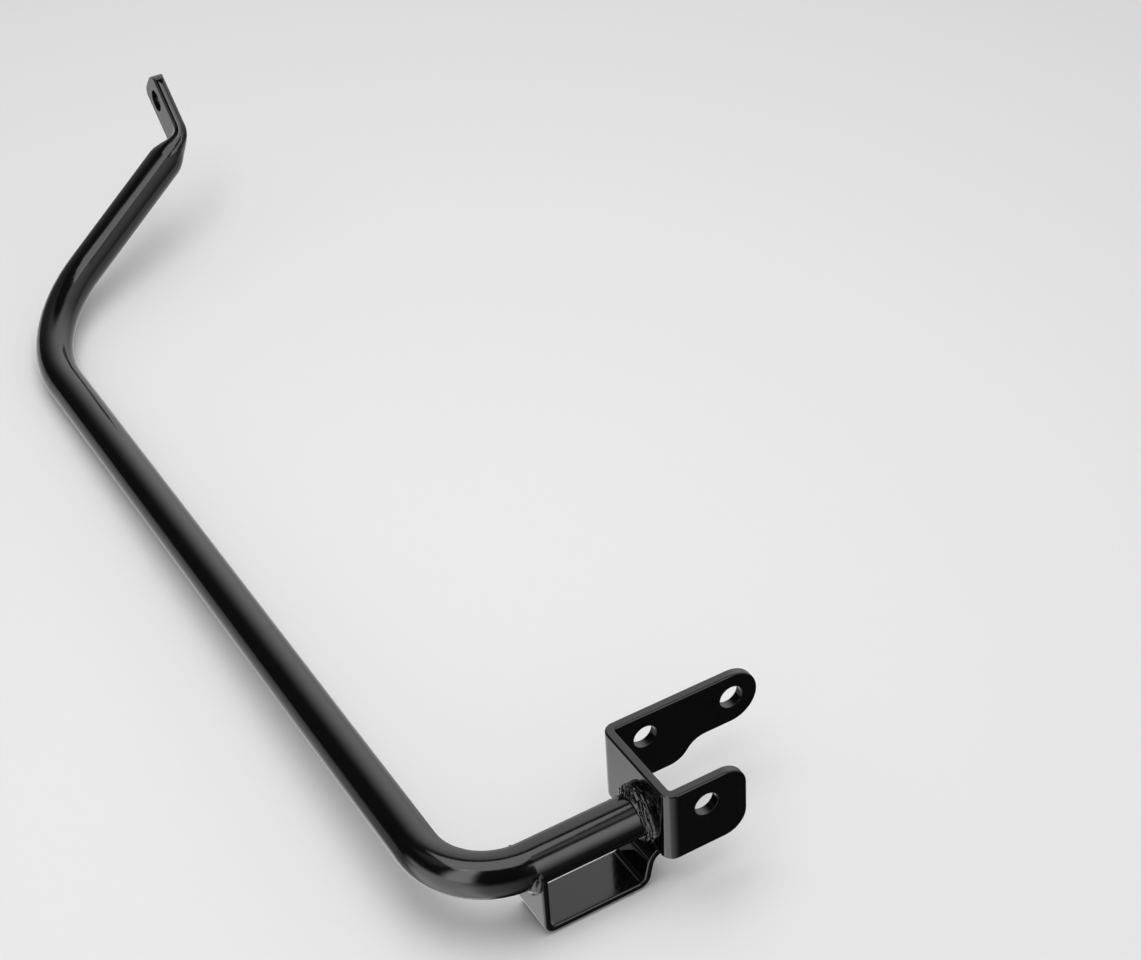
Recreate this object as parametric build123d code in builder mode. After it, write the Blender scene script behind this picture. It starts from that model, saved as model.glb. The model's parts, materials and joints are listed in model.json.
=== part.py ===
"""Left pannier frame of a motorbike: a bent tube with a pressed tab, a clevis bracket and a strap.

The origin is the middle of the clevis bolt. +X points inboard, +Y forward and +Z up.
"""

import math
import os

from build123d import *

# Tube
TUBE_OD = 19.05
TUBE_WALL = 3.05
MAIN_BAR = 468.0  # between the corners of the rear and the front bend
REAR_BEND_R = 32.0  # to the tube's centreline
FRONT_BEND_R = 76.5
TUBE_STICK_OUT = 3.0  # past the inner face of the bracket's web

# Front run: where its upper corner lies, from the corner of the front bend
TAB_INBOARD = 118.4
TAB_FORWARD = 59.5
TAB_RISE = 52.2

# Tab: the end of the tube, bent upright and pressed flat
TAB_BEND_R = 8.0
TAB_HOLE_D = 12.0
TAB_HOLE_REACH = 26.0  # from the corner of the bend
TAB_END_MARGIN = 12.0  # from the hole's centre to the end
TAB_CORNER_R = 9.0
PRESS_LEAD = 12.0  # pressing starts this far before the bend
PRESS_RUN_ON = 1.0  # and ends this far past it

# Clevis bracket: a folded plate
PLATE = 4.2
PLATE_BEND_R = 1.2  # inside
CLEVIS_GAP = 41.4  # between the ears
BOLT_HOLE_D = 11.0
BOLT_SPACING = 42.3  # clevis bolt to the outer bolt of the long ear
BOLT_FROM_WEB = 14.5  # from the web's inner face
BOLT_BELOW_TOP = 12.0
BOLT_ABOVE_TUBE = 10.0  # from the tube's axis
BOLT_AHEAD_OF_TUBE = 5.4  # middle of the clevis, from the tube's axis
WEB_BELOW_TUBE = 13.2  # from the tube's axis to the web's lower edge
SHORT_EAR = 19.2  # from the bolt to the ear's end
SHORT_EAR_CORNER_R = 10.5
ARM_HEIGHT = 26.0  # long ear past its step
STEP_START = 11.5  # long ear's lower edge starts to rise, from the clevis bolt
STEP_RUN = 18.0
EDGE_R = 0.8  # rims of the folded plates

# Hanger strap: a folded strip under the tube
STRAP_LENGTH = 49.3
STRAP_WIDTH = 21.5
STRAP_THICKNESS = 3.0
STRAP_BEND_R = 1.8  # inside
STRAP_DEPTH = 31.4  # from the tube's axis to the underside
STRAP_LEG_TOP = 1.5  # tops of the legs below the tube's axis
STRAP_TO_WEB = 3.35
STRAP_TO_BEND = 0.5

# Fits and welds
SEAT_GAP = 0.15  # tube in the web's hole and in the strap's saddles
WELD_UP_WEB = 3.2  # from the tube to the foot of the weld on the web
WELD_LEG = 3.2  # from the web to the toe of the weld on the tube's sides
WELD_LEAN = 2.0  # toe further out than this leg at the top, and nearer at the bottom
WELD_BULGE = 0.5  # crown of a bead above the straight line from toe to foot
WELD_ROOT = 0.8  # starts inside the tube's wall, then is cut to its surface
WELD_RUN_SWEEP = 104.0  # degrees round the tube's underside, from the web to the strap
STRAP_WELD_LEG = 3.4  # along the tube
STRAP_WELD_DROP = 2.8  # down the strap's leg
STRAP_WELD_SWEEP = 160.0

# Derived places
tube_r = TUBE_OD / 2
bore_r = tube_r - TUBE_WALL
tab_width = math.pi * bore_r + 2 * TUBE_WALL  # half of the bore's round lies flat
half_gap = CLEVIS_GAP / 2
half_out = half_gap + PLATE
web_inner = -BOLT_FROM_WEB
web_back = web_inner - PLATE
tube_y = -BOLT_AHEAD_OF_TUBE
tube_z = -BOLT_ABOVE_TUBE
bracket_top = BOLT_BELOW_TOP
bracket_bottom = tube_z - WEB_BELOW_TUBE
strap_inboard = web_back - STRAP_TO_WEB
strap_outboard = strap_inboard - STRAP_LENGTH
strap_bottom = tube_z - STRAP_DEPTH
short_run = Axis((0, tube_y, tube_z), (1, 0, 0))

# Corners of the tube's centreline
tube_end = Vector(web_inner + TUBE_STICK_OUT, tube_y, tube_z)
rear_corner = Vector(strap_outboard - STRAP_TO_BEND - REAR_BEND_R, tube_y, tube_z)
front_corner = rear_corner + Vector(0, MAIN_BAR, 0)
tab_corner = front_corner + Vector(TAB_INBOARD, TAB_FORWARD, TAB_RISE)

# Bend of the tab, which turns the front run upright, parallel to the main bar
run_direction = (tab_corner - front_corner).normalized()
tab_direction = Vector(0, TAB_FORWARD, TAB_RISE).normalized()
tab_across = Vector(1, 0, 0).cross(tab_direction)
bend_angle = math.radians(run_direction.get_angle(tab_direction))
bend_setback = TAB_BEND_R * math.tan(bend_angle / 2)
bend_start = tab_corner - run_direction * bend_setback
bend_end = tab_corner + tab_direction * bend_setback
bend_inward = (tab_direction - run_direction * run_direction.dot(tab_direction)).normalized()
bend_length = TAB_BEND_R * bend_angle
press_start = bend_start - run_direction * PRESS_LEAD
press_length = PRESS_LEAD + bend_length + PRESS_RUN_ON
tab_hole = tab_corner + tab_direction * TAB_HOLE_REACH
tab_length = TAB_HOLE_REACH + TAB_END_MARGIN - bend_setback - PRESS_RUN_ON
tab_plane = Plane(origin=tab_hole, x_dir=tab_direction, z_dir=(1, 0, 0))

PRESS_STEPS = 10  # sections along the pressed bend


def press_plane(step):
    """Plane across the tube at a step of the pressing, which is round at the first and flat at the last."""
    distance = press_length * step / PRESS_STEPS - PRESS_LEAD
    angle = min(max(distance / TAB_BEND_R, 0), bend_angle)
    along = run_direction * math.cos(angle) + bend_inward * math.sin(angle)
    centre = bend_start + run_direction * (TAB_BEND_R * math.sin(angle))
    centre += bend_inward * (TAB_BEND_R * (1 - math.cos(angle)))
    centre += along * (min(distance, 0) + max(distance - bend_length, 0))
    return Plane(origin=centre, x_dir=tab_across, z_dir=along)


def pressed_outline(share, inset):
    """Outline of the tube, or of its bore, where it is pressed by a share of the way to flat.

    The outline is an oval of two wide and two narrow arcs. It is a circle at share 0, and has
    straight flats and round edges at share 1.
    """
    width = tube_r + share * (tab_width / 2 - tube_r)
    height = tube_r + share * (TUBE_WALL - tube_r)
    side_r = (1 - share) * height**2 / width + share * height
    reach = width - side_r
    if share == 0:
        lean = math.radians(45)
    elif share == 1:
        lean = math.radians(90)
    else:
        flat_r = (reach**2 + height**2 - side_r**2) / (2 * (height - side_r))
        lean = math.atan2(flat_r - height, reach)
    corner_x = reach + (side_r - inset) * math.cos(lean)
    corner_y = (side_r - inset) * math.sin(lean)
    corners = [(corner_x, corner_y), (-corner_x, corner_y), (-corner_x, -corner_y), (corner_x, -corner_y)]
    with BuildLine() as outline:
        ThreePointArc(corners[3], (width - inset, 0), corners[0])
        ThreePointArc(corners[1], (inset - width, 0), corners[2])
        for start, end, side in ((corners[0], corners[1], 1), (corners[2], corners[3], -1)):
            if share == 1:
                Line(start, end)
            else:
                ThreePointArc(start, (0, side * (height - inset)), end)
    return outline.edges()


def press_share(step):
    """How far the tube is pressed at a step, eased at both ends."""
    part = step / PRESS_STEPS
    return part**2 * (3 - 2 * part)


# Bent tube
with BuildPart() as bent_tube:
    with BuildLine() as centreline:
        FilletPolyline(tube_end, rear_corner, front_corner, press_start, radius=[REAR_BEND_R, FRONT_BEND_R])
    with BuildSketch(Plane(origin=tube_end, z_dir=(-1, 0, 0))):
        Circle(tube_r)
    sweep(path=centreline.wire())
    for step in range(PRESS_STEPS + 1):
        with BuildSketch(press_plane(step)):
            make_face(pressed_outline(press_share(step), 0))
    loft()
    with BuildSketch(press_plane(PRESS_STEPS)):
        make_face(pressed_outline(1, 0))
    extrude(amount=tab_length)
    # Bore of the tube, closed where the walls meet
    with BuildSketch(Plane(origin=tube_end, z_dir=(-1, 0, 0))):
        Circle(bore_r)
    sweep(path=centreline.wire(), mode=Mode.SUBTRACT)
    for step in range(PRESS_STEPS):
        with BuildSketch(press_plane(step)):
            make_face(pressed_outline(press_share(step), TUBE_WALL))
    loft(mode=Mode.SUBTRACT)
    # Hole and rounded corners of the tab
    with BuildSketch(tab_plane):
        Circle(TAB_HOLE_D / 2)
    extrude(amount=tab_width / 2, both=True, mode=Mode.SUBTRACT)
    with BuildSketch(tab_plane):
        for side in (1, -1):
            corner = (TAB_END_MARGIN, side * tab_width / 2)
            centre = (TAB_END_MARGIN - TAB_CORNER_R, side * (tab_width / 2 - TAB_CORNER_R))
            with Locations(((corner[0] + centre[0]) / 2, (corner[1] + centre[1]) / 2)):
                Rectangle(TAB_CORNER_R, TAB_CORNER_R)
            with Locations(centre):
                Circle(TAB_CORNER_R, mode=Mode.SUBTRACT)
    extrude(amount=tab_width / 2, both=True, mode=Mode.SUBTRACT)

# Clevis bracket
short_end = SHORT_EAR
long_end = BOLT_SPACING + ARM_HEIGHT / 2
bracket_height = bracket_top - bracket_bottom
arm_bottom = bracket_top - ARM_HEIGHT
arm_middle = (bracket_top + arm_bottom) / 2
step_end = STEP_START + STEP_RUN
step_middle = ((STEP_START + step_end) / 2, (bracket_bottom + arm_bottom) / 2)
hole_r = BOLT_HOLE_D / 2
overcut = PLATE

with BuildPart() as clevis_bracket:
    with BuildSketch(Plane.XY.offset(bracket_bottom)):
        with BuildLine():
            outer = [
                (short_end, -half_out),
                (web_back, -half_out),
                (web_back, half_out),
                (long_end, half_out),
            ]
            inner = [
                (long_end, half_gap),
                (web_inner, half_gap),
                (web_inner, -half_gap),
                (short_end, -half_gap),
            ]
            FilletPolyline(*outer, radius=PLATE_BEND_R + PLATE)
            Line(outer[3], inner[0])
            FilletPolyline(*inner, radius=PLATE_BEND_R)
            Line(inner[3], outer[0])
        make_face()
    extrude(amount=bracket_height)
    short_end_face = clevis_bracket.faces().filter_by(Axis.X).sort_by(Axis.Y)[0]
    fillet(short_end_face.edges().filter_by(Axis.Y), SHORT_EAR_CORNER_R)
    # Step under the long ear, and its round end
    with BuildSketch(Plane.XZ.offset(-half_out - overcut)):
        with BuildLine():
            rise = TangentArc((STEP_START, bracket_bottom), step_middle, tangent=(1, 0))
            TangentArc(step_middle, (step_end, arm_bottom), tangent=rise % 1)
            Line((step_end, arm_bottom), (BOLT_SPACING, arm_bottom))
            ThreePointArc((BOLT_SPACING, arm_bottom), (long_end, arm_middle), (BOLT_SPACING, bracket_top))
            Polyline(
                (BOLT_SPACING, bracket_top),
                (BOLT_SPACING, bracket_top + overcut),
                (long_end + overcut, bracket_top + overcut),
                (long_end + overcut, bracket_bottom - overcut),
                (STEP_START, bracket_bottom - overcut),
                (STEP_START, bracket_bottom),
            )
        make_face()
    extrude(amount=PLATE + 2 * overcut, mode=Mode.SUBTRACT)
    # Rounded rims of the plate: its edge faces against its two skins
    upright = clevis_bracket.faces().filter_by(Axis.Z)
    ends = clevis_bracket.faces().filter_by(Axis.X).sort_by(Axis.Y)[:1]
    rounds = clevis_bracket.faces().filter_by(GeomType.CYLINDER)
    rounds = rounds.filter_by(lambda face: abs(face.axis_of_rotation.direction.Y) > 0.5)
    rim_edges = (upright + ends + rounds).edges()
    rim_edges = rim_edges.filter_by(
        lambda edge: abs(edge.tangent_at(0.5).Y) < 0.99 or edge.length > 2 * PLATE
    )
    fillet(rim_edges, EDGE_R)
    # Bolt holes through the ears, and the tube's hole through the web
    with BuildSketch(Plane.XZ.offset(-half_out - overcut)):
        with Locations((0, 0), (BOLT_SPACING, 0)):
            Circle(hole_r)
    extrude(amount=2 * (half_out + overcut), mode=Mode.SUBTRACT)
    with BuildSketch(Plane.YZ.offset(web_back - overcut)):
        with Locations((tube_y, tube_z)):
            Circle(tube_r + SEAT_GAP)
    extrude(amount=PLATE + 2 * overcut, mode=Mode.SUBTRACT)

# Hanger strap
leg_top = tube_z - STRAP_LEG_TOP

with BuildPart() as hanger_strap:
    with BuildSketch(Plane.XZ.offset(-tube_y)):
        with BuildLine():
            outer = [
                (strap_outboard, leg_top),
                (strap_outboard, strap_bottom),
                (strap_inboard, strap_bottom),
                (strap_inboard, leg_top),
            ]
            inner = [
                (strap_inboard - STRAP_THICKNESS, leg_top),
                (strap_inboard - STRAP_THICKNESS, strap_bottom + STRAP_THICKNESS),
                (strap_outboard + STRAP_THICKNESS, strap_bottom + STRAP_THICKNESS),
                (strap_outboard + STRAP_THICKNESS, leg_top),
            ]
            FilletPolyline(*outer, radius=STRAP_BEND_R + STRAP_THICKNESS)
            Line(outer[3], inner[0])
            FilletPolyline(*inner, radius=STRAP_BEND_R)
            Line(inner[3], outer[0])
        make_face()
    extrude(amount=STRAP_WIDTH / 2, both=True)
    fillet(hanger_strap.faces().filter_by(Axis.Y).edges(), EDGE_R)
    # Saddles that the tube lies in
    with BuildSketch(Plane.YZ.offset(strap_outboard - STRAP_THICKNESS)):
        with Locations((tube_y, tube_z)):
            Circle(tube_r + SEAT_GAP)
    extrude(amount=STRAP_LENGTH + 2 * STRAP_THICKNESS, mode=Mode.SUBTRACT)

# Weld round the tube at the web, run on below to the strap's inboard leg
root_r = tube_r - WELD_ROOT
foot_r = tube_r + WELD_UP_WEB
strap_foot_r = tube_r + STRAP_WELD_DROP
root_share = (foot_r - root_r) / WELD_UP_WEB  # from foot to root, where foot to tube is 1


def plane_from_tube(angle):
    """Plane through the short run's axis, its second direction outward at degrees from straight down."""
    turn = math.radians(angle)
    return Plane(origin=(0, tube_y, tube_z), x_dir=(1, 0, 0), z_dir=(0, math.cos(turn), math.sin(turn)))


with BuildPart() as end_weld:
    # Rings from the foot on the web to the root inside the tube's wall, each leaning more than the last
    for share, bulge in ((0, 0), (root_share / 2, WELD_BULGE), (root_share, 0)):
        ring_r = foot_r - share * WELD_UP_WEB + bulge
        lean = math.atan(share * WELD_LEAN / tube_r)
        ring_centre = (web_back - share * WELD_LEG, tube_y, tube_z)
        facing = (math.cos(lean), 0, math.sin(lean))
        with BuildSketch(Plane(origin=ring_centre, x_dir=(0, 1, 0), z_dir=facing)):
            Ellipse(ring_r, ring_r / math.cos(lean))
    loft()
    with BuildSketch(plane_from_tube(-WELD_RUN_SWEEP / 2)):
        with BuildLine():
            foot = Vector(web_back, foot_r)
            strap_foot = Vector(strap_inboard, strap_foot_r)
            valley = (strap_foot + foot) / 2 - Vector(0, WELD_BULGE)
            ThreePointArc(strap_foot, valley, foot)
            Polyline(foot, (web_back, root_r), (strap_inboard, root_r), strap_foot)
        make_face()
    revolve(axis=short_run, revolution_arc=WELD_RUN_SWEEP)
    with BuildSketch(Plane.YZ.offset(web_back)):
        with Locations((tube_y, tube_z)):
            Circle(tube_r)
    extrude(amount=STRAP_LENGTH, both=True, mode=Mode.SUBTRACT)

# Weld under the tube at the strap's outboard leg
with BuildPart() as strap_weld:
    with BuildSketch(plane_from_tube(-STRAP_WELD_SWEEP / 2)):
        with BuildLine():
            toe = Vector(strap_outboard - STRAP_WELD_LEG - WELD_ROOT, root_r)
            foot = Vector(strap_outboard, strap_foot_r)
            crown = (toe + foot) / 2 + Vector(-WELD_BULGE, WELD_BULGE)
            ThreePointArc(toe, crown, foot)
            Polyline(foot, (strap_outboard, root_r), toe)
        make_face()
    revolve(axis=short_run, revolution_arc=STRAP_WELD_SWEEP)
    add(bent_tube.part, mode=Mode.SUBTRACT)

os.makedirs("parts", exist_ok=True)
bent_tube.part.label = "bent_tube"
clevis_bracket.part.label = "clevis_bracket"
hanger_strap.part.label = "hanger_strap"
end_weld.part.label = "end_weld"
strap_weld.part.label = "strap_weld"
export_step(bent_tube.part, "parts/bent_tube.step")
export_step(clevis_bracket.part, "parts/clevis_bracket.step")
export_step(hanger_strap.part, "parts/hanger_strap.step")
export_step(end_weld.part, "parts/end_weld.step")
export_step(strap_weld.part, "parts/strap_weld.step")
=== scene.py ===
"""A left-hand pannier frame for a motorbike: one bent tube with a pressed tab, a folded clevis
bracket and a folded hanger strap, welded together and painted gloss black."""

import json
import logging
import math
from dataclasses import dataclass
from enum import Enum

import bmesh
import bpy
from mathutils import Matrix, Vector

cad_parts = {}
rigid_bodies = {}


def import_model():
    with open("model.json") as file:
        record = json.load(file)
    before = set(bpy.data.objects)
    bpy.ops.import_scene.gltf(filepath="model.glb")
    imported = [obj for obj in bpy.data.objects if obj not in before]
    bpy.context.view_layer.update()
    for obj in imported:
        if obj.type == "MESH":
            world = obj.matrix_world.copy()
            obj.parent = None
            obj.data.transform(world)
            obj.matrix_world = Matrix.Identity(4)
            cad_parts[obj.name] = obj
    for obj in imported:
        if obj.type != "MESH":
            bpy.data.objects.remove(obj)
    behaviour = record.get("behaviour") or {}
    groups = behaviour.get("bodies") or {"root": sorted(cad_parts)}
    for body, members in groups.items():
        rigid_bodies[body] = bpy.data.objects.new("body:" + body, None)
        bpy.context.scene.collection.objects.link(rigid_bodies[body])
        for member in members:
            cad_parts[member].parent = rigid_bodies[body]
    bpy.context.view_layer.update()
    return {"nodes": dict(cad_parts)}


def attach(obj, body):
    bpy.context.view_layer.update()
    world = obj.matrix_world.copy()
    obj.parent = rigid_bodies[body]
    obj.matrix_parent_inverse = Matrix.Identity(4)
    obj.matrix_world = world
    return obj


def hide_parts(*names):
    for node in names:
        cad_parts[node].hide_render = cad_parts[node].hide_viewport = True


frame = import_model()

LOG = logging.getLogger("pannier_frame")
MM = 0.001
BODY = "root"

Colour = tuple[float, float, float]
Triple = tuple[float, float, float]
Span = tuple[float, float]
Ramp = tuple[float, float, float, float]

BLACK = (0.0, 0.0, 0.0, 1.0)
WHITE = (1.0, 1.0, 1.0, 1.0)

# The Mix node's sockets share their names, so they are told apart by number.
MIX_COLOUR_A, MIX_COLOUR_B, MIX_COLOUR_OUT = 6, 7, 2
MIX_VALUE_A, MIX_VALUE_B, MIX_VALUE_OUT = 2, 3, 0


class Slot(Enum):
    """The record's material slots."""

    FRAME = "frame_paint"
    WELD = "weld_paint"


class Node(Enum):
    """The solids of the CAD model."""

    TUBE = "bent_tube"
    BRACKET = "clevis_bracket"
    STRAP = "hanger_strap"
    END_WELD = "end_weld"
    STRAP_WELD = "strap_weld"


class Socket(Enum):
    """The kinds of socket that the node groups have."""

    FLOAT = "NodeSocketFloat"
    INT = "NodeSocketInt"
    VECTOR = "NodeSocketVector"
    COLOUR = "NodeSocketColor"
    MATERIAL = "NodeSocketMaterial"
    GEOMETRY = "NodeSocketGeometry"


class Graph:
    """Adds nodes to one node tree and joins them."""

    def __init__(self, tree: bpy.types.NodeTree) -> None:
        """Takes the tree to build in."""
        self.tree = tree

    def add(self, kind: str, **settings: object) -> bpy.types.Node:
        """Adds one node.

        Args:
            kind: Blender's name for the node's type.
            settings: attributes of the node to set.

        Returns:
            The new node.
        """
        node = self.tree.nodes.new(kind)
        for name, value in settings.items():
            setattr(node, name, value)
        return node

    def put(self, node: bpy.types.Node, **values: object) -> bpy.types.Node:
        """Sets plain values on a node's inputs.

        Args:
            node: the node to set.
            values: input names, with _ for a space, and what each is set to.

        Returns:
            The same node.
        """
        for name, value in values.items():
            node.inputs[name.replace("_", " ")].default_value = value
        return node

    def join(self, start: bpy.types.NodeSocket, end: bpy.types.NodeSocket) -> None:
        """Links an output to an input."""
        self.tree.links.new(start, end)

    def noise(self, **values: float) -> bpy.types.Node:
        """Adds noise over the piece's own coordinates.

        Args:
            values: plain values of its inputs.

        Returns:
            The noise node.
        """
        made = self.put(self.add("ShaderNodeTexNoise"), **values)
        self.join(self.add("ShaderNodeTexCoord").outputs["Object"], made.inputs["Vector"])
        return made

    def times(
        self, first: bpy.types.NodeSocket, second: bpy.types.NodeSocket
    ) -> bpy.types.NodeSocket:
        """Multiplies two values.

        Args:
            first: one value's output.
            second: the other value's output.

        Returns:
            The product's output.
        """
        product = self.add("ShaderNodeMath", operation="MULTIPLY")
        self.join(first, product.inputs[0])
        self.join(second, product.inputs[1])
        return product.outputs["Value"]


class PaintGroups:
    """Shader groups that every painted surface shares."""

    def __init__(self) -> None:
        """Builds each group once."""
        self.peel = self.build_peel()
        self.haze = self.build_haze()
        self.settle = self.build_settle()
        self.rim = self.build_rim()
        # Rim wear, whose lighter grey is also a painted highlight along the rims.
        self.wear_and_highlight = self.build_wear_and_highlight()

    @staticmethod
    def start(
        name: str, inputs: dict[str, Socket], outputs: dict[str, Socket]
    ) -> tuple[Graph, bpy.types.Node, bpy.types.Node]:
        """Makes an empty group with its sockets.

        Args:
            name: the group's name.
            inputs: kind of socket by input name.
            outputs: kind of socket by output name.

        Returns:
            The group's graph, its input node and its output node.
        """
        tree = bpy.data.node_groups.new(name, "ShaderNodeTree")
        for way, sockets in (("INPUT", inputs), ("OUTPUT", outputs)):
            for socket, kind in sockets.items():
                tree.interface.new_socket(socket, in_out=way, socket_type=kind.value)
        graph = Graph(tree)
        return graph, graph.add("NodeGroupInput"), graph.add("NodeGroupOutput")

    def build_peel(self) -> bpy.types.NodeTree:
        """Sprayed paint's slow ripple with finer grain on it.

        Returns:
            A group from the two grain counts per metre to one height.
        """
        graph, entry, leave = self.start(
            "orange_peel",
            {"Ripples": Socket.FLOAT, "Grains": Socket.FLOAT, "Grain Share": Socket.FLOAT},
            {"Height": Socket.FLOAT},
        )
        ripple = graph.noise(Detail=1.5, Roughness=0.45)
        grain = graph.noise(Detail=1.0, Roughness=0.5)
        total = graph.add("ShaderNodeMath", operation="MULTIPLY_ADD")
        graph.join(entry.outputs["Ripples"], ripple.inputs["Scale"])
        graph.join(entry.outputs["Grains"], grain.inputs["Scale"])
        graph.join(grain.outputs["Fac"], total.inputs[0])
        graph.join(entry.outputs["Grain Share"], total.inputs[1])
        graph.join(ripple.outputs["Fac"], total.inputs[2])
        graph.join(total.outputs["Value"], leave.inputs["Height"])
        return graph.tree

    def build_haze(self) -> bpy.types.NodeTree:
        """Clouds and fine specks of duller paint.

        Returns:
            A group from the glossiest and dullest roughness to the roughness at a point.
        """
        graph, entry, leave = self.start(
            "film_haze",
            {"Glossy": Socket.FLOAT, "Dull": Socket.FLOAT},
            {"Roughness": Socket.FLOAT},
        )
        cloud = graph.noise(Scale=55.0, Detail=4.0, Roughness=0.6)
        speck = graph.noise(Scale=900.0, Detail=2.0, Roughness=0.6)
        spread = graph.put(graph.add("ShaderNodeMapRange"), From_Min=0.14, From_Max=0.4)
        both = graph.times(cloud.outputs["Fac"], speck.outputs["Fac"])
        graph.join(both, spread.inputs["Value"])
        graph.join(entry.outputs["Glossy"], spread.inputs["To Min"])
        graph.join(entry.outputs["Dull"], spread.inputs["To Max"])
        graph.join(spread.outputs["Result"], leave.inputs["Roughness"])
        return graph.tree

    def build_settle(self) -> bpy.types.NodeTree:
        """Faint dust that settles on what faces up, and stays in patches.

        Returns:
            A group from the paint's and the dust's colours to the colour at a point.
        """
        graph, entry, leave = self.start(
            "settled_dust",
            {"Paint": Socket.COLOUR, "Dust": Socket.COLOUR, "Amount": Socket.FLOAT},
            {"Colour": Socket.COLOUR},
        )
        facing = graph.add("ShaderNodeNewGeometry")
        split = graph.add("ShaderNodeSeparateXYZ")
        upward = graph.add("ShaderNodeMapRange")
        graph.put(upward, From_Min=-0.2, From_Max=1.0, To_Min=0.25, To_Max=1.0)
        patch = graph.noise(Scale=120.0, Detail=5.0, Roughness=0.65)
        spread = graph.put(graph.add("ShaderNodeMapRange"), From_Min=0.35, From_Max=0.75)
        blend = graph.add("ShaderNodeMix", data_type="RGBA")
        graph.join(facing.outputs["Normal"], split.inputs["Vector"])
        graph.join(split.outputs["Z"], upward.inputs["Value"])
        graph.join(patch.outputs["Fac"], spread.inputs["Value"])
        share = graph.times(upward.outputs["Result"], spread.outputs["Result"])
        graph.join(graph.times(share, entry.outputs["Amount"]), blend.inputs["Factor"])
        graph.join(entry.outputs["Paint"], blend.inputs[MIX_COLOUR_A])
        graph.join(entry.outputs["Dust"], blend.inputs[MIX_COLOUR_B])
        graph.join(blend.outputs[MIX_COLOUR_OUT], leave.inputs["Colour"])
        return graph.tree

    def build_rim(self) -> bpy.types.NodeTree:
        """The rounding that paint gives a sharp edge, and where it lies.

        Returns:
            A group from the rounding's radius to the rounded normal and a mask of the rims.
        """
        graph, entry, leave = self.start(
            "soft_rim",
            {"Reach": Socket.FLOAT},
            {"Normal": Socket.VECTOR, "Edge": Socket.FLOAT},
        )
        rounded = graph.add("ShaderNodeBevel", samples=6)
        facing = graph.add("ShaderNodeNewGeometry")
        agree = graph.add("ShaderNodeVectorMath", operation="DOT_PRODUCT")
        edge = graph.put(graph.add("ShaderNodeMapRange"), From_Min=0.99, From_Max=0.8)
        graph.join(entry.outputs["Reach"], rounded.inputs["Radius"])
        graph.join(rounded.outputs["Normal"], agree.inputs[0])
        graph.join(facing.outputs["Normal"], agree.inputs[1])
        graph.join(agree.outputs["Value"], edge.inputs["Value"])
        graph.join(rounded.outputs["Normal"], leave.inputs["Normal"])
        graph.join(edge.outputs["Result"], leave.inputs["Edge"])
        return graph.tree

    def build_wear_and_highlight(self) -> bpy.types.NodeTree:
        """Paint rubbed thin and dull along the rims, in broken stretches. Its lighter grey is also
        a painted highlight along the rims.

        Returns:
            A group from the sound and the worn paint to the colour and roughness at a point.
        """
        graph, entry, leave = self.start(
            "rim_wear_and_painted_highlight",
            {
                "Colour": Socket.COLOUR,
                "Roughness": Socket.FLOAT,
                "Worn Colour": Socket.COLOUR,
                "Worn Roughness": Socket.FLOAT,
                "Edge": Socket.FLOAT,
                "Amount": Socket.FLOAT,
            },
            {"Colour": Socket.COLOUR, "Roughness": Socket.FLOAT},
        )
        patch = graph.noise(Scale=260.0, Detail=4.0, Roughness=0.7)
        spread = graph.put(graph.add("ShaderNodeMapRange"), From_Min=0.4, From_Max=0.65)
        tint = graph.add("ShaderNodeMix", data_type="RGBA")
        dull = graph.add("ShaderNodeMix", data_type="FLOAT")
        graph.join(patch.outputs["Fac"], spread.inputs["Value"])
        share = graph.times(spread.outputs["Result"], entry.outputs["Edge"])
        scaled = graph.times(share, entry.outputs["Amount"])
        graph.join(scaled, tint.inputs["Factor"])
        graph.join(entry.outputs["Colour"], tint.inputs[MIX_COLOUR_A])
        graph.join(entry.outputs["Worn Colour"], tint.inputs[MIX_COLOUR_B])
        graph.join(scaled, dull.inputs["Factor"])
        graph.join(entry.outputs["Roughness"], dull.inputs[MIX_VALUE_A])
        graph.join(entry.outputs["Worn Roughness"], dull.inputs[MIX_VALUE_B])
        graph.join(tint.outputs[MIX_COLOUR_OUT], leave.inputs["Colour"])
        graph.join(dull.outputs[MIX_VALUE_OUT], leave.inputs["Roughness"])
        return graph.tree


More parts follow.
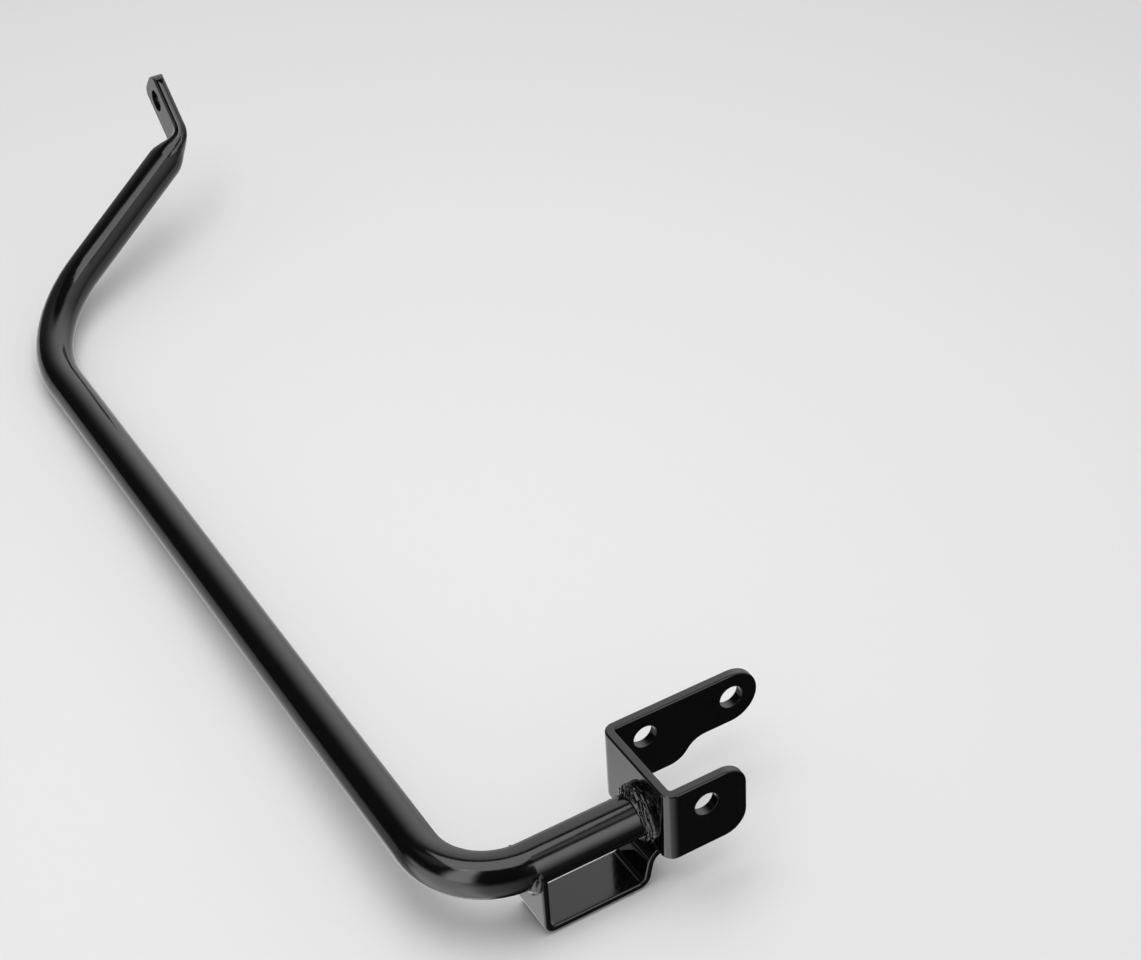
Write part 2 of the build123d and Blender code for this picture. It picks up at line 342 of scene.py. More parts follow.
@dataclass(frozen=True)
class PaintFinish:
    """Gloss black paint, as it lies on one kind of surface."""

    name: str
    colour: Colour
    glossy: float
    dull: float
    ripple_mm: float
    grain_mm: float
    grain_share: float
    peel_depth_mm: float
    rim_mm: float
    dust: float
    dust_colour: Colour = (0.11, 0.105, 0.1)
    # Rims in lighter grey: partly rubbed paint, partly a painted highlight along the rims.
    wear_and_highlight: float = 0.6
    worn_and_highlight_colour: Colour = (0.035, 0.035, 0.036)
    worn_roughness: float = 0.34
    film_ior: float = 1.5

    def material(self, groups: PaintGroups) -> bpy.types.Material:
        """Builds the material.

        Args:
            groups: the shared shader groups.

        Returns:
            The new material.
        """
        made = bpy.data.materials.new(self.name)
        made.use_nodes = True
        graph = Graph(made.node_tree)
        made.node_tree.nodes.clear()
        surface = graph.add("ShaderNodeBsdfPrincipled")
        graph.put(surface, Metallic=0.0, IOR=self.film_ior)
        leave = graph.add("ShaderNodeOutputMaterial")
        peel = graph.add("ShaderNodeGroup", node_tree=groups.peel)
        graph.put(
            peel,
            Ripples=1.0 / (self.ripple_mm * MM),
            Grains=1.0 / (self.grain_mm * MM),
            Grain_Share=self.grain_share,
        )
        haze = graph.add("ShaderNodeGroup", node_tree=groups.haze)
        graph.put(haze, Glossy=self.glossy, Dull=self.dull)
        settle = graph.add("ShaderNodeGroup", node_tree=groups.settle)
        graph.put(settle, Paint=(*self.colour, 1.0), Dust=(*self.dust_colour, 1.0))
        graph.put(settle, Amount=self.dust)
        rim = graph.add("ShaderNodeGroup", node_tree=groups.rim)
        graph.put(rim, Reach=self.rim_mm * MM)
        # Rims painted lighter grey: rubbed paint, and also a painted highlight along the rims.
        wear_with_highlight = graph.add("ShaderNodeGroup", node_tree=groups.wear_and_highlight)
        graph.put(wear_with_highlight, Worn_Colour=(*self.worn_and_highlight_colour, 1.0), Amount=self.wear_and_highlight)
        graph.put(wear_with_highlight, Worn_Roughness=self.worn_roughness)
        bump = graph.add("ShaderNodeBump")
        graph.put(bump, Strength=1.0, Distance=self.peel_depth_mm * MM)
        graph.join(rim.outputs["Normal"], bump.inputs["Normal"])
        graph.join(peel.outputs["Height"], bump.inputs["Height"])
        graph.join(bump.outputs["Normal"], surface.inputs["Normal"])
        graph.join(rim.outputs["Edge"], wear_with_highlight.inputs["Edge"])
        graph.join(haze.outputs["Roughness"], wear_with_highlight.inputs["Roughness"])
        graph.join(settle.outputs["Colour"], wear_with_highlight.inputs["Colour"])
        graph.join(wear_with_highlight.outputs["Roughness"], surface.inputs["Roughness"])
        graph.join(wear_with_highlight.outputs["Colour"], surface.inputs["Base Color"])
        graph.join(surface.outputs["BSDF"], leave.inputs["Surface"])
        return made


TUBE_PAINT = PaintFinish(
    name="tube_gloss_black",
    colour=(0.0022, 0.0022, 0.0024),
    glossy=0.08,
    dull=0.17,
    ripple_mm=9.0,
    grain_mm=1.6,
    grain_share=0.18,
    peel_depth_mm=0.03,
    rim_mm=0.5,
    dust=0.012,
)
PLATE_PAINT = PaintFinish(
    name="plate_gloss_black",
    colour=(0.0024, 0.0024, 0.0024),
    glossy=0.07,
    dull=0.15,
    ripple_mm=5.0,
    grain_mm=1.1,
    grain_share=0.3,
    peel_depth_mm=0.02,
    rim_mm=0.35,
    dust=0.014,
)
WELD_PAINT = PaintFinish(
    name="weld_gloss_black",
    colour=(0.002, 0.002, 0.0021),
    glossy=0.12,
    dull=0.3,
    ripple_mm=2.2,
    grain_mm=0.6,
    grain_share=0.3,
    peel_depth_mm=0.05,
    rim_mm=0.15,
    dust=0.01,
)


class BuiltPiece:
    """What the pieces that take the place of a solid share."""

    MERGE = 0.01 * MM

    @classmethod
    def copy_solid(cls, node: Node) -> bmesh.types.BMesh:
        """Copies a solid's mesh.

        Args:
            node: the solid.

        Returns:
            An editable copy in the part's frame, with its seams joined.
        """
        solid = frame["nodes"][node.value]
        shape = bmesh.new()
        shape.from_mesh(solid.data)
        shape.transform(solid.matrix_world)
        bmesh.ops.remove_doubles(shape, verts=shape.verts, dist=cls.MERGE)
        return shape

    @staticmethod
    def place(shape: bmesh.types.BMesh, name: str) -> bpy.types.Object:
        """Makes an object of a finished shape.

        Args:
            shape: the shape, which is freed.
            name: the object's name.

        Returns:
            The object, in the scene.
        """
        mesh = bpy.data.meshes.new(name)
        shape.to_mesh(mesh)
        shape.free()
        piece = bpy.data.objects.new(name, mesh)
        bpy.context.scene.collection.objects.link(piece)
        return piece

    @staticmethod
    def settle(piece: bpy.types.Object, paint: bpy.types.Material) -> bpy.types.Mesh:
        """Applies a piece's modifiers and paints it.

        Args:
            piece: the piece, with its modifiers.
            paint: its only material.

        Returns:
            The mesh that it is left with.
        """
        rough = piece.data
        graph = bpy.context.evaluated_depsgraph_get()
        made = bpy.data.meshes.new_from_object(piece.evaluated_get(graph))
        piece.modifiers.clear()
        piece.data = made
        bpy.data.meshes.remove(rough)
        made.name = piece.name
        made.materials.clear()
        made.materials.append(paint)
        return made


@dataclass(frozen=True)
class HangerStrap(BuiltPiece):
    """The folded strip under the tube.

    Its floor and outboard leg are the CAD model's. Its inboard leg leans in, and turns out under
    the bracket's web in a wide bend. Lengths are in millimetres and angles in degrees.
    """

    cut_x: float = -30.0
    cut_reach: float = 0.001
    middle_z: float = -39.9
    bend_x: float = -26.9
    bend_r: float = 3.9
    lean: float = 77.0
    leg: float = 6.88
    flare_r: float = 7.0
    flange: float = 0.15
    turn_step: float = 6.0
    sharp: float = 40.0

    def moves(self) -> list[Span]:
        """Lists the strip's way from the cut to its inboard end.

        Returns:
            A radius and an angle for each bend, or nought and a length for each straight.
        """
        return [
            (0.0, self.bend_x - self.cut_x),
            (self.bend_r, self.lean),
            (0.0, self.leg),
            (self.flare_r, -self.lean),
            (0.0, self.flange),
        ]

    @staticmethod
    def grow(
        shape: bmesh.types.BMesh, rim: list[bmesh.types.BMEdge]
    ) -> tuple[list[bmesh.types.BMVert], list[bmesh.types.BMEdge]]:
        """Extrudes an open end without moving it.

        Args:
            shape: the mesh to grow.
            rim: the edges of its open end.

        Returns:
            The new end's corners and edges.
        """
        made = bmesh.ops.extrude_edge_only(shape, edges=rim)["geom"]
        corners = [part for part in made if isinstance(part, bmesh.types.BMVert)]
        edges = [part for part in made if isinstance(part, bmesh.types.BMEdge)]
        return corners, [edge for edge in edges if edge.is_boundary]

    def sweep(self, shape: bmesh.types.BMesh, rim: list[bmesh.types.BMEdge]) -> None:
        """Carries the cut end along the strip's way and closes it.

        Args:
            shape: the mesh to grow.
            rim: the edges of the cut.
        """
        heading = 0.0
        point = Vector((self.cut_x, 0.0, self.middle_z)) * MM
        for radius, amount in self.moves():
            ahead = Vector((math.cos(heading), 0.0, math.sin(heading)))
            if radius == 0.0:
                corners, rim = self.grow(shape, rim)
                bmesh.ops.translate(shape, verts=corners, vec=ahead * amount * MM)
                point = point + ahead * amount * MM
                continue
            side = Vector((-ahead.z, 0.0, ahead.x)) * math.copysign(radius * MM, amount)
            pivot = point + side
            steps = math.ceil(abs(amount) / self.turn_step)
            part = Matrix.Rotation(-math.radians(amount) / steps, 3, "Y")
            for _ in range(steps):
                corners, rim = self.grow(shape, rim)
                bmesh.ops.rotate(shape, verts=corners, cent=pivot, matrix=part)
                point = pivot + part @ (point - pivot)
            heading += math.radians(amount)
        bmesh.ops.edgeloop_fill(shape, edges=rim)
        bmesh.ops.recalc_face_normals(shape, faces=shape.faces)

    def build(self, paint: bpy.types.Material) -> None:
        """Makes the strip and puts it in the solid's place.

        Args:
            paint: the strip's material.
        """
        shape = self.copy_solid(Node.STRAP)
        bmesh.ops.bisect_plane(
            shape,
            geom=[*shape.verts, *shape.edges, *shape.faces],
            dist=self.cut_reach * MM,
            plane_co=(self.cut_x * MM, 0.0, 0.0),
            plane_no=(1.0, 0.0, 0.0),
            clear_outer=True,
        )
        self.sweep(shape, [edge for edge in shape.edges if edge.is_boundary])
        piece = self.place(shape, "hanger_strap_turned")
        piece.data.shade_smooth()
        piece.data.set_sharp_from_angle(angle=math.radians(self.sharp))
        even = piece.modifiers.new("even", "WEIGHTED_NORMAL")
        even.keep_sharp = True
        strip = self.settle(piece, paint)
        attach(piece, BODY)
        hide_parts(Node.STRAP.value)
        LOG.info("%s folded, %d faces", piece.name, len(strip.polygons))


@dataclass(frozen=True)
class FramePieces:
    """The tube and the bracket, which keep the shapes of the CAD model, and the strap."""

    groups: PaintGroups

    def dress(self) -> None:
        """Paints the first two and builds the third."""
        paints = {
            Node.TUBE: TUBE_PAINT.material(self.groups),
            Node.BRACKET: PLATE_PAINT.material(self.groups),
        }
        for node, paint in paints.items():
            piece = frame["nodes"][node.value]
            piece.data.materials.clear()
            piece.data.materials.append(paint)
            LOG.info("%s painted %s", node.value, paint.name)
        HangerStrap().build(paints[Node.BRACKET])


@dataclass(frozen=True)
class BeadRun:
    """One strand of a weld round the short end of the tube.

    Its arc has a place across, a ring's radius, a start and a sweep. Lengths are in millimetres and
    angles in degrees, from straight down by way of forward. The whole arc tilts, each drop wanders
    and leans by chance, and a size is half a drop's length, width and height.
    """

    across: float
    ring: float
    start: float
    sweep: float
    drops: int
    size: Triple
    lean: float
    seed: int
    tilt: float = 0.0
    wander: float = 0.3


class BeadTree:
    """Geometry Nodes tree that lays overlapping drops of weld along an arc."""

    INPUTS = {
        "Ring": Socket.FLOAT,
        "Start": Socket.FLOAT,
        "Sweep": Socket.FLOAT,
        "Drops": Socket.INT,
        "Drop Size": Socket.VECTOR,
        "Tilt": Socket.FLOAT,
        "Wander": Socket.FLOAT,
        "Lean": Socket.FLOAT,
        "Seed": Socket.INT,
        "Centre": Socket.VECTOR,
        "Paint": Socket.MATERIAL,
    }
    ARC_POINTS = 96
    DROP_ROUNDS = 4
    WANDER_ENDS: tuple[Triple, Triple] = ((-1.0, -1.0, -1.0), (1.0, 1.0, 1.0))
    LEAN_ENDS: tuple[Triple, Triple] = ((-0.8, 0.2, -0.4), (0.8, 1.0, 0.5))
    SIZE_ENDS: tuple[Triple, Triple] = ((0.7, 0.65, 0.65), (1.3, 1.25, 1.25))

    def __init__(self) -> None:
        """Builds the tree."""
        self.tree = bpy.data.node_groups.new("weld_bead", "GeometryNodeTree")
        self.graph = Graph(self.tree)
        self.ids: dict[str, str] = {}
        face = self.tree.interface
        for name, kind in self.INPUTS.items():
            socket = face.new_socket(name, in_out="INPUT", socket_type=kind.value)
            self.ids[name] = socket.identifier
        face.new_socket("Geometry", in_out="OUTPUT", socket_type=Socket.GEOMETRY.value)
        self.entry = self.graph.add("NodeGroupInput")
        self.lay()

    def chance(self, ends: tuple[Triple, Triple], scale: str | None = None) -> bpy.types.Node:
        """Adds a random vector for each drop.

        Args:
            ends: its lowest and highest values.
            scale: the input that both are multiplied by, if any.

        Returns:
            The random node.
        """
        graph = self.graph
        made = graph.add("FunctionNodeRandomValue", data_type="FLOAT_VECTOR")
        graph.join(self.entry.outputs["Seed"], made.inputs["Seed"])
        for socket, end in zip(("Min", "Max"), ends):
            if scale is None:
                made.inputs[socket].default_value = end
                continue
            scaled = graph.put(graph.add("ShaderNodeVectorMath", operation="SCALE"), Vector=end)
            graph.join(self.entry.outputs[scale], scaled.inputs["Scale"])
            graph.join(scaled.outputs["Vector"], made.inputs[socket])
        return made

    def points(self) -> bpy.types.NodeSocket:
        """Adds the arc.

        Returns:
            The drops' places along it.
        """
        graph, entry = self.graph, self.entry
        arc = graph.add("GeometryNodeCurveArc", mode="RADIUS")
        graph.put(arc, Resolution=self.ARC_POINTS)
        spaced = graph.add("GeometryNodeResampleCurve", mode="COUNT")
        moved = graph.add("GeometryNodeSetPosition")
        shift = self.chance(self.WANDER_ENDS, "Wander")
        graph.join(entry.outputs["Ring"], arc.inputs["Radius"])
        graph.join(entry.outputs["Start"], arc.inputs["Start Angle"])
        graph.join(entry.outputs["Sweep"], arc.inputs["Sweep Angle"])
        graph.join(arc.outputs["Curve"], spaced.inputs["Curve"])
        graph.join(entry.outputs["Drops"], spaced.inputs["Count"])
        graph.join(spaced.outputs["Curve"], moved.inputs["Geometry"])
        graph.join(shift.outputs["Value"], moved.inputs["Offset"])
        return moved.outputs["Geometry"]

    def turns(self) -> bpy.types.NodeSocket:
        """Adds the drops' turns.

        Returns:
            The turn of each, along the arc and then by its own lean.
        """
        graph = self.graph
        along = graph.add("GeometryNodeInputTangent")
        aligned = graph.add("FunctionNodeAlignRotationToVector", axis="X", pivot_axis="Z")
        lean = self.chance(self.LEAN_ENDS, "Lean")
        turn = graph.add("FunctionNodeEulerToRotation")
        turned = graph.add("FunctionNodeRotateRotation", rotation_space="LOCAL")
        graph.join(along.outputs["Tangent"], aligned.inputs["Vector"])
        graph.join(lean.outputs["Value"], turn.inputs["Euler"])
        graph.join(aligned.outputs["Rotation"], turned.inputs["Rotation"])
        graph.join(turn.outputs["Rotation"], turned.inputs["Rotate By"])
        return turned.outputs["Rotation"]

    def sizes(self) -> bpy.types.NodeSocket:
        """Adds the drops' sizes.

        Returns:
            The size of each.
        """
        graph = self.graph
        share = self.chance(self.SIZE_ENDS)
        sized = graph.add("ShaderNodeVectorMath", operation="MULTIPLY")
        graph.join(self.entry.outputs["Drop Size"], sized.inputs[0])
        graph.join(share.outputs["Value"], sized.inputs[1])
        return sized.outputs["Vector"]

    def lay(self) -> None:
        """Adds the drops along the arc, the arc's place on the tube, and the paint."""
        graph, entry = self.graph, self.entry
        drop = graph.add("GeometryNodeMeshIcoSphere")
        graph.put(drop, Radius=1.0, Subdivisions=self.DROP_ROUNDS)
        placed = graph.add("GeometryNodeInstanceOnPoints")
        stood = graph.add("GeometryNodeTransform")
        upright = graph.add("ShaderNodeMath", operation="SUBTRACT")
        graph.put(upright, Value=math.pi / 2)
        stance = graph.add("ShaderNodeCombineXYZ")
        real = graph.add("GeometryNodeRealizeInstances")
        paint = graph.add("GeometryNodeSetMaterial")
        leave = graph.add("NodeGroupOutput")
        graph.join(self.points(), placed.inputs["Points"])
        graph.join(drop.outputs["Mesh"], placed.inputs["Instance"])
        graph.join(self.turns(), placed.inputs["Rotation"])
        graph.join(self.sizes(), placed.inputs["Scale"])
        graph.join(placed.outputs["Instances"], stood.inputs["Geometry"])
        graph.join(entry.outputs["Tilt"], upright.inputs[1])
        graph.join(upright.outputs["Value"], stance.inputs["Y"])
        graph.join(stance.outputs["Vector"], stood.inputs["Rotation"])
        graph.join(entry.outputs["Centre"], stood.inputs["Translation"])
        graph.join(stood.outputs["Geometry"], real.inputs["Geometry"])
        graph.join(real.outputs["Geometry"], paint.inputs["Geometry"])
        graph.join(entry.outputs["Paint"], paint.inputs["Material"])
        graph.join(paint.outputs["Geometry"], leave.inputs["Geometry"])

    def mesh(self, run: BeadRun, centre: Triple, paint: bpy.types.Material) -> bpy.types.Mesh:
        """Evaluates the tree for one run.

        Args:
            run: the strand to lay.
            centre: the middle of its arc, in metres.
            paint: the material to set.

        Returns:
            A plain mesh of the drops.
        """
        carrier = bpy.data.objects.new("bead_run", bpy.data.meshes.new("bead_run"))
        bpy.context.scene.collection.objects.link(carrier)
        modifier = carrier.modifiers.new("bead", "NODES")
        modifier.node_group = self.tree
        values = {
            "Ring": run.ring * MM,
            "Start": math.radians(run.start),
            "Sweep": math.radians(run.sweep),
            "Drops": run.drops,
            "Drop Size": tuple(side * MM for side in run.size),
            "Tilt": math.radians(run.tilt),
            "Wander": run.wander * MM,
            "Lean": math.radians(run.lean),
            "Seed": run.seed,
            "Centre": centre,
            "Paint": paint,
        }
        for name, value in values.items():
            modifier[self.ids[name]] = value
        graph = bpy.context.evaluated_depsgraph_get()
        mesh = bpy.data.meshes.new_from_object(carrier.evaluated_get(graph))
        bpy.data.objects.remove(carrier)
        return mesh


@dataclass(frozen=True)
class WeldBead(BuiltPiece):
    """One weld: strands fused over the fillet of the CAD model into a single lumpy bead.

    Lengths are in millimetres. The axis is the tube's.
    """

    node: Node
    axis_y: float
    axis_z: float
    runs: tuple[BeadRun, ...]
    voxel: float = 0.22
    smoothing: int = 3
    smooth_share: float = 0.5

    def build(self, tree: BeadTree, paint: bpy.types.Material) -> None:
        """Lays the strands on the fillet, fuses them and puts the bead in the solid's place.

        Args:
            tree: the tree that lays one run.
            paint: the bead's material.
        """
        shape = self.copy_solid(self.node)
        for run in self.runs:
            centre = (run.across * MM, self.axis_y * MM, self.axis_z * MM)
            mesh = tree.mesh(run, centre, paint)
            shape.from_mesh(mesh)
            bpy.data.meshes.remove(mesh)
        piece = self.place(shape, self.node.value + "_bead")
        fuse = piece.modifiers.new("fuse", "REMESH")
        fuse.mode = "VOXEL"
        fuse.voxel_size = self.voxel * MM
        even = piece.modifiers.new("even", "SMOOTH")
        even.factor = self.smooth_share
        even.iterations = self.smoothing
        bead = self.settle(piece, paint)
        bead.shade_smooth()
        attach(piece, BODY)
        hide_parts(self.node.value)
        LOG.info("%s laid in %d runs, %d faces", piece.name, len(self.runs), len(bead.polygons))


@dataclass(frozen=True)
class Welds:
    """The two welds at the short end of the tube. Lengths are in millimetres."""

    groups: PaintGroups
    axis_y: float = -5.4
    axis_z: float = -10.0
    tube_r: float = 9.525
    web_back: float = -18.7
    strap_inboard: float = -22.05
    strap_outboard: float = -71.35
    horn_in: float = 0.6

    def end_runs(self) -> tuple[BeadRun, ...]:
        """Lists the end weld's strands.

        Returns:
            Three round the back of the web, each further out, and one under the tube.
        """
        return (
            BeadRun(
                across=self.web_back - 0.9,
                ring=self.tube_r + 2.4,
                start=50.0,
                sweep=260.0,
                drops=15,
                size=(3.4, 1.0, 0.95),
                lean=16.0,
                seed=11,
                tilt=3.0,
            ),
            BeadRun(
                across=self.web_back - 2.1,
                ring=self.tube_r + 1.4,
                start=46.0,
                sweep=268.0,
                drops=14,
                size=(3.6, 1.1, 1.05),
                lean=20.0,
                seed=4,
                tilt=7.0,
                wander=0.35,
            ),
            BeadRun(
                across=self.web_back - 3.2,
                ring=self.tube_r + 0.4,
                start=52.0,
                sweep=256.0,
                drops=12,
                size=(3.2, 1.0, 1.0),
                lean=18.0,
                seed=29,
                tilt=11.0,
                wander=0.4,
            ),
            BeadRun(
                across=(self.web_back + self.strap_inboard) / 2,
                ring=self.tube_r + 1.6,
                start=-54.0,
                sweep=108.0,
                drops=11,
                size=(2.2, 1.0, 1.6),
                lean=20.0,
                seed=5,
            ),
        )

    def strap_runs(self) -> tuple[BeadRun, ...]:
        """Lists the strap weld's strands.

        Returns:
            Two along the outboard leg, and a short one on its horn.
        """
        return (
            BeadRun(
                across=self.strap_outboard - 0.9,
                ring=self.tube_r + 1.8,
                start=-82.0,
                sweep=164.0,
                drops=10,
                size=(3.2, 1.0, 1.0),
                lean=18.0,
                seed=23,
            ),
            BeadRun(
                across=self.strap_outboard - 2.3,
                ring=self.tube_r + 0.6,
                start=-86.0,
                sweep=172.0,
                drops=9,
                size=(3.2, 1.0, 1.05),
                lean=20.0,
                seed=8,
                wander=0.35,
            ),
            BeadRun(
                across=self.strap_outboard + self.horn_in,
                ring=self.tube_r + 0.2,
                start=-98.0,
                sweep=14.0,
                drops=4,
                size=(1.5, 1.0, 1.5),
                lean=40.0,
                seed=3,
                wander=0.4,
            ),
        )

    def build(self) -> None:
        """Lays both."""
        paint = WELD_PAINT.material(self.groups)
        tree = BeadTree()
        for node, runs in (
            (Node.END_WELD, self.end_runs()),
            (Node.STRAP_WELD, self.strap_runs()),
        ):
            WeldBead(node, self.axis_y, self.axis_z, runs).build(tree, paint)


@dataclass(frozen=True)
class Panel:
    """A soft white panel, as the gloss paint sees it.

    Turns are degrees round the upright, from back-inboard towards outboard. Rises are degrees above
    the horizon. Each has where the panel starts, is full, is still full, and ends. A rise that
    starts below straight down has no lower edge.
    """

    turn: Ramp
    rise: Ramp
    brightness: float

    def add(
        self, graph: Graph, turn: bpy.types.NodeSocket, rise: bpy.types.NodeSocket
    ) -> bpy.types.NodeSocket:
        """Adds the panel's nodes.

        Args:
            graph: the world's graph.
            turn: a direction's turn, in radians.
            rise: a direction's rise, in radians.

        Returns:
            The panel's brightness in that direction.
        """
        total = None
        for angle, edges in ((turn, self.turn), (rise, self.rise)):
            for low, high, low_value, high_value in (
                (edges[0], edges[1], 0.0, 1.0),
                (edges[2], edges[3], 1.0, 0.0),
            ):
                edge = graph.add("ShaderNodeMapRange", interpolation_type="SMOOTHSTEP")
                graph.put(edge, From_Min=math.radians(low), From_Max=math.radians(high))
                graph.put(edge, To_Min=low_value, To_Max=high_value)
                graph.join(angle, edge.inputs["Value"])
                product = graph.add("ShaderNodeMath", operation="MULTIPLY")
                graph.join(edge.outputs["Result"], product.inputs[0])
                if total is None:
                    product.inputs[1].default_value = self.brightness
                else:
                    graph.join(total, product.inputs[1])
                total = product.outputs["Value"]
        return total


@dataclass(frozen=True)
class Softbox:
    """A soft lamp. Lengths are in metres."""

    name: str
    place: Triple
    width: float
    height: float
    brightness: float
    in_gloss: bool

    def build(self, target: Vector) -> None:
        """Adds the lamp.

        Args:
            target: the point that it faces.
        """
        lamp = bpy.data.lights.new(self.name, "AREA")
        lamp.shape = "RECTANGLE"
        lamp.size, lamp.size_y = self.width, self.height
        lamp.energy = self.brightness * math.pi * self.width * self.height
        made = bpy.data.objects.new(self.name, lamp)
        bpy.context.scene.collection.objects.link(made)
        made.location = Vector(self.place)
        made.rotation_euler = (target - made.location).to_track_quat("-Z", "Y").to_euler()
        made.visible_camera = False
        made.visible_glossy = self.in_gloss


@dataclass(frozen=True)
class GlossCard:
    """A pale card at the floor's level that only the gloss sees.

    The main bar mirrors it as it would the floor, and not the low panels behind it. Its light
    grows from the outboard edge to full_x, and its rear edge fades in up to full_y. Lengths are
    in metres.
    """

    x: Span = (-0.55, 0.2)
    y: Span = (0.04, 0.75)
    under: float = 0.001
    light: float = 0.75
    full_x: float = -0.12
    full_y: float = 0.14

    def material(self) -> bpy.types.Material:
        """Builds the card's material.

        Returns:
            The new material.
        """
        made = bpy.data.materials.new("card_light")
        made.use_nodes = True
        graph = Graph(made.node_tree)
        surface = made.node_tree.nodes["Principled BSDF"]
        graph.put(surface, Base_Color=BLACK, Specular_IOR_Level=0.0, Emission_Color=WHITE)
        place = graph.add("ShaderNodeTexCoord")
        split = graph.add("ShaderNodeSeparateXYZ")
        light = graph.add("ShaderNodeMapRange")
        graph.put(light, From_Min=self.x[0], From_Max=self.full_x, To_Max=self.light)
        fade = graph.add("ShaderNodeMapRange")
        graph.put(fade, From_Min=self.y[0], From_Max=self.full_y)
        graph.join(place.outputs["Object"], split.inputs["Vector"])
        graph.join(split.outputs["X"], light.inputs["Value"])
        graph.join(split.outputs["Y"], fade.inputs["Value"])
        graph.join(light.outputs["Result"], surface.inputs["Emission Strength"])
        graph.join(fade.outputs["Result"], surface.inputs["Alpha"])
        return made


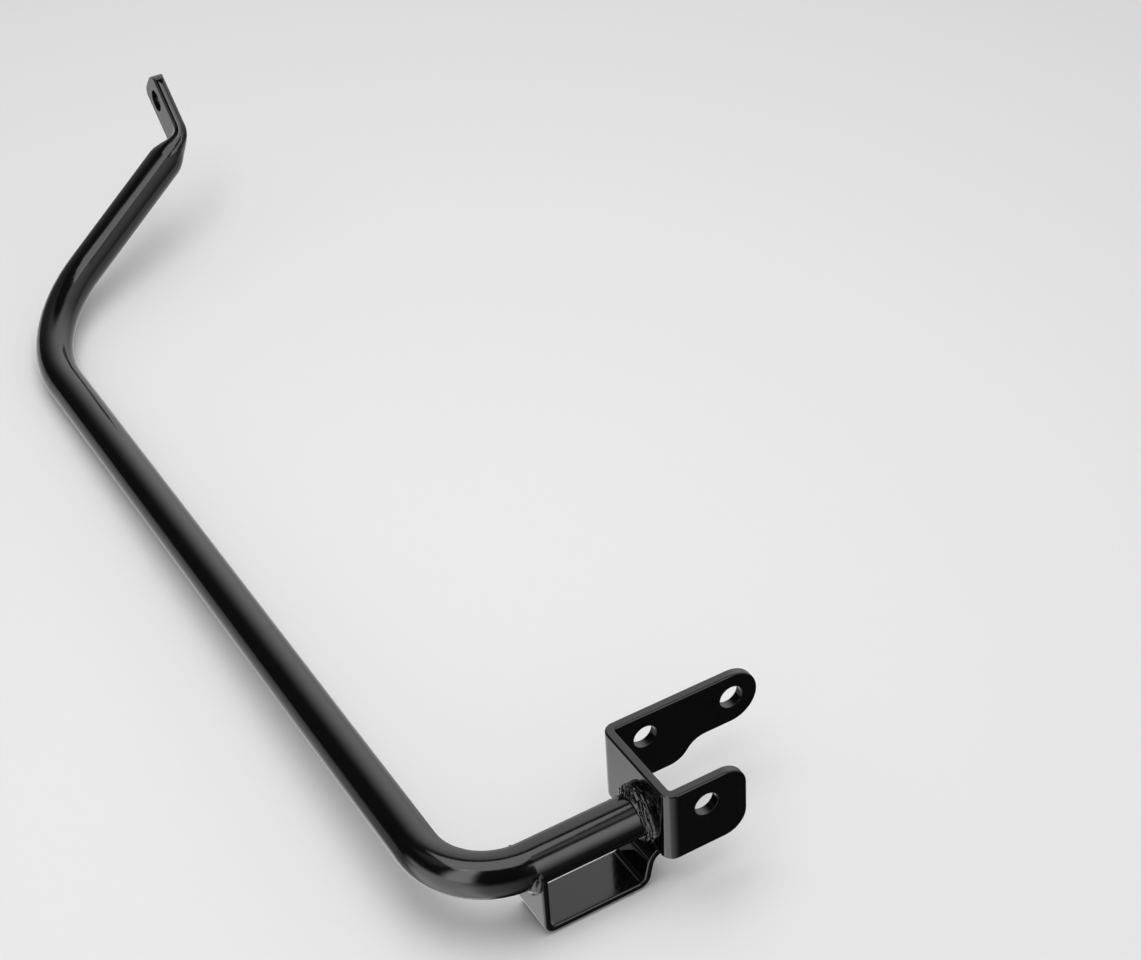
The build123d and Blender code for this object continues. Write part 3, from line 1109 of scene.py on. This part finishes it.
@dataclass(frozen=True)
class Studio:
    """Pale floor, soft lamps, white panels round about and the camera.

    Lengths are in metres. The floor rises by its tilt along +Y, because the frame leans as it lies.
    """

    target: Triple = (-0.03, 0.2, 0.0)
    floor_tilt: float = 0.0528
    floor_low: float = -0.0416
    floor_from: float = 0.0046
    floor_x: Span = (-40.0, 40.0)
    floor_y: Span = (-40.0, 40.0)
    floor_colour: Colour = (0.8, 0.8, 0.8)
    floor_roughness: float = 0.9
    floor_specular: float = 0.1
    card: GlossCard = GlossCard()
    room_light: float = 0.5
    dim: float = 0.03
    turn_from: float = -142.0
    camera_place: Triple = (-0.34665, -0.5667, 0.6633)
    camera_right: Triple = (0.858, -0.5112, -0.0504)
    camera_up: Triple = (0.3481, 0.5064, 0.7889)
    lens_mm: float = 72.8
    sensor_mm: float = 36.0
    boxes: tuple[Softbox, ...] = (
        Softbox("top_box", (-0.12, 0.037, 1.1), 0.98, 0.92, brightness=2.7, in_gloss=True),
        Softbox("fill_box", (0.5, 0.9, 1.6), 1.2, 1.0, brightness=0.8, in_gloss=False),
    )
    panels: tuple[Panel, ...] = (
        Panel((-172.0, -92.0, -72.0, -42.0), (-35.0, 35.0, 50.0, 62.0), 1.7),
        Panel((-72.0, -42.0, 0.0, 10.0), (-30.0, 55.0, 60.0, 70.0), 1.1),
        Panel((6.0, 12.0, 21.0, 26.0), (-25.0, 28.0, 38.0, 47.0), 3.0),
        Panel((3.0, 83.0, 86.0, 104.0), (-110.0, -60.0, -20.0, 5.0), 1.05),
        Panel((68.0, 103.0, 143.0, 160.0), (-110.0, -30.0, 0.0, 18.0), 2.4),
        Panel((78.0, 90.0, 106.0, 120.0), (0.0, 16.0, 60.0, 72.0), 3.3),
        Panel((143.0, 160.0, 176.0, 179.0), (-200.0, -190.0, -60.0, -5.0), 0.85),
        Panel((-179.0, -176.0, -142.0, -112.0), (-200.0, -190.0, -60.0, -5.0), 1.25),
        Panel((123.0, 138.0, 163.0, 179.0), (36.0, 56.0, 95.0, 100.0), 0.35),
    )

    def sheet(self, name: str, x: Span, y: Span, under: float = 0.0) -> bpy.types.Object:
        """Adds a flat sheet, tilted as the floor is.

        Args:
            name: the sheet's name.
            x: where it starts and ends across.
            y: where it starts and ends along.
            under: how far it lies under the floor.

        Returns:
            The sheet's object, staged.
        """
        mesh = bpy.data.meshes.new(name)
        low = self.floor_low - under
        corners = [
            (across, along, low + self.floor_tilt * (along - self.floor_from))
            for across, along in ((x[0], y[0]), (x[1], y[0]), (x[1], y[1]), (x[0], y[1]))
        ]
        mesh.from_pydata(corners, [], [(0, 1, 2, 3)])
        made = bpy.data.objects.new(name, mesh)
        bpy.context.scene.collection.objects.link(made)
        return made

    def lay_card(self) -> None:
        """Adds the card that only the gloss sees."""
        made = self.sheet("gloss_card", self.card.x, self.card.y, self.card.under)
        made.data.materials.append(self.card.material())
        made.visible_camera = False
        made.visible_diffuse = False
        made.visible_shadow = False

    def lay_floor(self) -> None:
        """Adds the floor, which the gloss doesn't see."""
        made = self.sheet("floor", self.floor_x, self.floor_y)
        paper = bpy.data.materials.new("pale_paper")
        paper.use_nodes = True
        Graph(paper.node_tree).put(
            paper.node_tree.nodes["Principled BSDF"],
            Base_Color=(*self.floor_colour, 1.0),
            Roughness=self.floor_roughness,
            Specular_IOR_Level=self.floor_specular,
        )
        made.data.materials.append(paper)
        made.visible_glossy = False

    def surroundings(self) -> None:
        """Makes the world pale to camera and floor, and a dim room with panels to the gloss."""
        world = bpy.data.worlds.new("studio")
        bpy.context.scene.world = world
        world.use_nodes = True
        world.node_tree.nodes.clear()
        graph = Graph(world.node_tree)
        leave = graph.add("ShaderNodeOutputWorld")
        room = graph.add("ShaderNodeBackground")
        graph.put(room, Color=WHITE, Strength=self.room_light)
        gloss = graph.put(graph.add("ShaderNodeBackground"), Color=WHITE)
        path = graph.add("ShaderNodeLightPath")
        mix = graph.add("ShaderNodeMixShader")
        place = graph.add("ShaderNodeTexCoord")
        turned = graph.add("ShaderNodeMapping")
        graph.put(turned, Rotation=(0.0, 0.0, -math.radians(self.turn_from)))
        split = graph.add("ShaderNodeSeparateXYZ")
        turn = graph.add("ShaderNodeMath", operation="ARCTAN2")
        rise = graph.add("ShaderNodeMath", operation="ARCSINE")
        graph.join(place.outputs["Generated"], turned.inputs["Vector"])
        graph.join(turned.outputs["Vector"], split.inputs["Vector"])
        graph.join(split.outputs["X"], turn.inputs[0])
        graph.join(split.outputs["Y"], turn.inputs[1])
        graph.join(split.outputs["Z"], rise.inputs[0])
        total = None
        for panel in self.panels:
            light = panel.add(graph, turn.outputs["Value"], rise.outputs["Value"])
            both = graph.add("ShaderNodeMath", operation="ADD")
            graph.join(light, both.inputs[0])
            if total is None:
                both.inputs[1].default_value = self.dim
            else:
                graph.join(total, both.inputs[1])
            total = both.outputs["Value"]
        graph.join(total, gloss.inputs["Strength"])
        graph.join(path.outputs["Is Glossy Ray"], mix.inputs["Fac"])
        graph.join(room.outputs["Background"], mix.inputs[1])
        graph.join(gloss.outputs["Background"], mix.inputs[2])
        graph.join(mix.outputs["Shader"], leave.inputs["Surface"])

    def stand_camera(self) -> None:
        """Adds the camera where the photograph was taken from."""
        lens = bpy.data.cameras.new("camera")
        lens.sensor_width = self.sensor_mm
        lens.lens = self.lens_mm
        made = bpy.data.objects.new("camera", lens)
        bpy.context.scene.collection.objects.link(made)
        right, up = Vector(self.camera_right), Vector(self.camera_up)
        back = right.cross(up).normalized()
        up = back.cross(right.normalized())
        turn = Matrix((right.normalized(), up, back)).transposed()
        made.matrix_world = Matrix.Translation(Vector(self.camera_place)) @ turn.to_4x4()
        bpy.context.scene.camera = made

    def build(self) -> None:
        """Sets the whole studio up."""
        self.lay_floor()
        self.lay_card()
        self.surroundings()
        for box in self.boxes:
            box.build(Vector(self.target))
        self.stand_camera()
        bpy.context.scene.view_settings.view_transform = "Standard"
        LOG.info("studio set up with %d lamps and %d panels", len(self.boxes), len(self.panels))


def main() -> None:
    """Builds the pieces in order."""
    logging.basicConfig(level=logging.INFO, format="%(name)s: %(message)s")
    groups = PaintGroups()
    FramePieces(groups).dress()
    Welds(groups).build()
    Studio().build()


if __name__ == "__main__":
    main()
